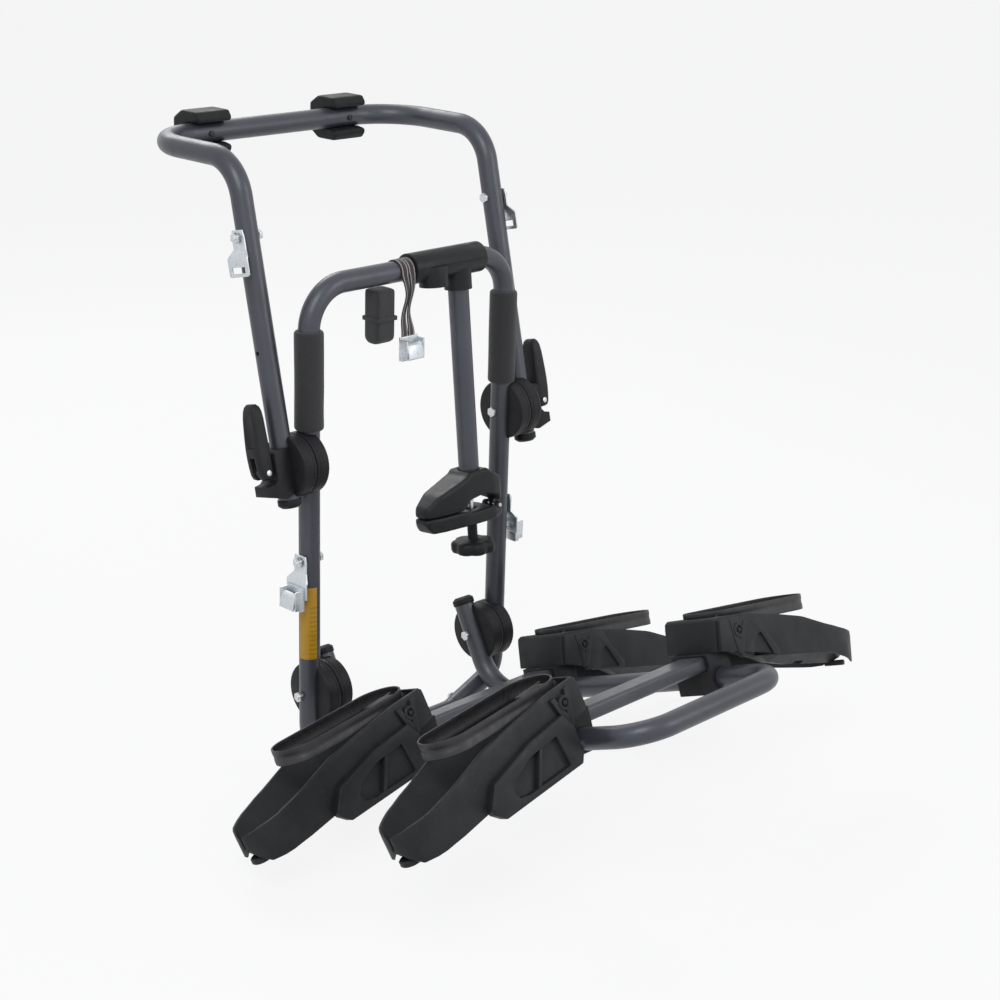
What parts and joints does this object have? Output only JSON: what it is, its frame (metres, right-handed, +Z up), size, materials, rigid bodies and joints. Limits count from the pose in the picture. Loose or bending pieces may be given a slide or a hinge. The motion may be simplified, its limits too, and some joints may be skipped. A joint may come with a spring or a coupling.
{
  "type": "tailgate bike rack",
  "caption": "Strap-on rear door bicycle carrier: bent tube frame with foam rests, a folding upper bow, a tilted folding platform with wheel trays, and a swinging frame clamp.",
  "frame": {"origin": "middle of the line on which the two foam sleeves touch the car door, halfway up the sleeves", "axes": "+Z up, +Y towards the car, the platform reaches out along -Y, and +X runs across the car towards the side that carries the frame holder"},
  "size_m": [0.9096, 0.9307, 0.9145],
  "materials": {
    "tube_paint": "satin dark slate powder coat",
    "bar_paint": "satin",
    "foam_black": "closed cell foam, matt",
    "hinge_plastic": "moulded, lightly grained",
    "pad_plastic": "moulded soft grip",
    "lever_plastic": "moulded, satin",
    "tray_plastic": "moulded, lightly grained",
    "ratchet_plastic": "moulded",
    "strap_rubber": "ribbed, matt",
    "holder_plastic": "moulded, satin",
    "knob_plastic": "moulded, lobed grip",
    "zinc_plate": "zinc plated, satin",
    "bolt_steel": "zinc plated",
    "label_film": "plain printed film",
    "webbing_black": "woven, matt"
  },
  "bodies": {
    "frame": {"main_frame_tube": "tube_paint", "bottom_bar": "tube_paint", "frame_joint_bolts": "bolt_steel", "foam_sleeve_left": "foam_black", "foam_sleeve_right": "foam_black", "upper_frame_discs": "hinge_plastic", "lower_frame_discs": "hinge_plastic", "lower_hinge_bolts": "bolt_steel", "leg_strap_plates": "zinc_plate", "leg_plate_bolts": "bolt_steel", "leg_buckles": "zinc_plate", "leg_label": "label_film", "webbing_loop": "webbing_black", "webbing_roll": "webbing_black", "roll_band": "webbing_black", "tie_buckle": "zinc_plate"},
    "bow": {"upper_bow_tube": "tube_paint", "bow_end_caps": "hinge_plastic", "rest_pad_left": "pad_plastic", "rest_pad_right": "pad_plastic", "rest_pad_screws": "bolt_steel", "bow_discs": "hinge_plastic", "cam_bolts": "bolt_steel", "cam_saddles": "hinge_plastic", "lever_pins": "bolt_steel", "bow_strap_plates": "zinc_plate", "bow_plate_bolts": "bolt_steel"},
    "platform": {"platform_tube": "tube_paint", "platform_arm_caps": "hinge_plastic", "platform_discs": "hinge_plastic", "tray_bars": "bar_paint", "tray_saddles": "hinge_plastic", "wheel_tray_inner_left": "tray_plastic", "wheel_tray_inner_right": "tray_plastic", "wheel_tray_outer_left": "tray_plastic", "wheel_tray_outer_right": "tray_plastic", "wheel_strap_inner_left": "strap_rubber", "wheel_strap_inner_right": "strap_rubber", "wheel_strap_outer_left": "strap_rubber", "wheel_strap_outer_right": "strap_rubber", "ratchet_housings": "ratchet_plastic"},
    "holder": {"holder_bracket_upper": "holder_plastic", "holder_bracket_lower": "holder_plastic", "bracket_screws": "bolt_steel", "holder_post": "tube_paint", "holder_upper_jaw": "holder_plastic", "jaw_pin": "bolt_steel", "clamp_stud": "bolt_steel"},
    "lower_jaw": {"holder_lower_jaw": "holder_plastic"},
    "knob_slider": {"knob_washer": "bolt_steel"},
    "knob": {"clamp_knob": "knob_plastic"},
    "tie_lever": {"tie_buckle_lever": "zinc_plate"},
    "cam_lever_body_left": {"cam_lever_left": "lever_plastic"},
    "leg_lever_left": {"leg_buckle_lever_left": "zinc_plate"},
    "ratchet_inner_left": {"ratchet_lever_inner_left": "ratchet_plastic"},
    "ratchet_outer_left": {"ratchet_lever_outer_left": "ratchet_plastic"},
    "cam_lever_body_right": {"cam_lever_right": "lever_plastic"},
    "leg_lever_right": {"leg_buckle_lever_right": "zinc_plate"},
    "ratchet_inner_right": {"ratchet_lever_inner_right": "ratchet_plastic"},
    "ratchet_outer_right": {"ratchet_lever_outer_right": "ratchet_plastic"}
  },
  "joints": [
    {"name": "platform_fold", "type": "hinge", "parent": "frame", "child": "platform", "pos_m": [0, -0.0205, -0.4625], "axis": [-1, 0, 0], "range_deg": [0, 45]},
    {"name": "bow_fold", "type": "hinge", "parent": "frame", "child": "bow", "pos_m": [0, -0.0205, -0.114], "axis": [-1, 0, 0], "range_deg": [-25, 100]},
    {"name": "holder_swing", "type": "hinge", "parent": "frame", "child": "holder", "pos_m": [0, -0.0205, 0.1275], "axis": [-1, 0, 0], "range_deg": [0, 80]},
    {"name": "cam_lever_turn_left", "type": "hinge", "parent": "bow", "child": "cam_lever_body_left", "pos_m": [-0.2706, -0.0205, -0.114], "axis": [0, -0.9736, 0.2284], "range_deg": [0, 100]},
    {"name": "leg_buckle_thumb_left", "type": "hinge", "parent": "frame", "child": "leg_lever_left", "pos_m": [-0.2222, -0.0205, -0.3035], "axis": [0, 1, 0], "range_deg": [0, 80], "stiffness_Nm_per_rad": 0.03, "springref_deg": -17.19},
    {"name": "ratchet_release_inner_left", "type": "hinge", "parent": "platform", "child": "ratchet_inner_left", "pos_m": [-0.17376, -0.17566, -0.42338], "axis": [0, 0.9304, -0.3665], "range_deg": [0, 70], "stiffness_Nm_per_rad": 0.02, "springref_deg": -17.19},
    {"name": "ratchet_release_outer_left", "type": "hinge", "parent": "platform", "child": "ratchet_outer_left", "pos_m": [-0.17376, -0.45479, -0.31343], "axis": [0, 0.9304, -0.3665], "range_deg": [0, 70], "stiffness_Nm_per_rad": 0.02, "springref_deg": -17.19},
    {"name": "cam_lever_turn_right", "type": "hinge", "parent": "bow", "child": "cam_lever_body_right", "pos_m": [0.2706, -0.0205, -0.114], "axis": [0, 0.9736, -0.2284], "range_deg": [0, 100]},
    {"name": "leg_buckle_thumb_right", "type": "hinge", "parent": "frame", "child": "leg_lever_right", "pos_m": [0.2222, -0.0205, -0.3035], "axis": [0, -1, 0], "range_deg": [0, 80], "stiffness_Nm_per_rad": 0.03, "springref_deg": -17.19},
    {"name": "ratchet_release_inner_right", "type": "hinge", "parent": "platform", "child": "ratchet_inner_right", "pos_m": [0.17376, -0.17566, -0.42338], "axis": [0, -0.9304, 0.3665], "range_deg": [0, 70], "stiffness_Nm_per_rad": 0.02, "springref_deg": -17.19},
    {"name": "ratchet_release_outer_right", "type": "hinge", "parent": "platform", "child": "ratchet_outer_right", "pos_m": [0.17376, -0.45479, -0.31343], "axis": [0, -0.9304, 0.3665], "range_deg": [0, 70], "stiffness_Nm_per_rad": 0.02, "springref_deg": -17.19},
    {"name": "tie_buckle_thumb", "type": "hinge", "parent": "frame", "child": "tie_lever", "pos_m": [-0.021, -0.048, 0.0265], "axis": [-1, 0, 0], "range_deg": [0, 80], "stiffness_Nm_per_rad": 0.03, "springref_deg": -17.19},
    {"name": "lower_jaw_open", "type": "hinge", "parent": "holder", "child": "lower_jaw", "pos_m": [0.133, -0.06221, -0.23863], "axis": [0, -0.9936, 0.1132], "range_deg": [0, 12]},
    {"name": "knob_travel", "type": "slide", "parent": "holder", "child": "knob_slider", "axis": [0, -0.1132, -0.9936], "range_m": [0, 0.012]},
    {"name": "knob_spin", "type": "hinge", "parent": "knob_slider", "child": "knob", "pos_m": [0.089, -0.06726, -0.28295], "axis": [0, 0.1132, 0.9936], "continuous": true}
  ],
  "couplings": [
    {"joint": "knob_travel", "follows": "lower_jaw_open", "m_per_rad": 0.0565}
  ]
}
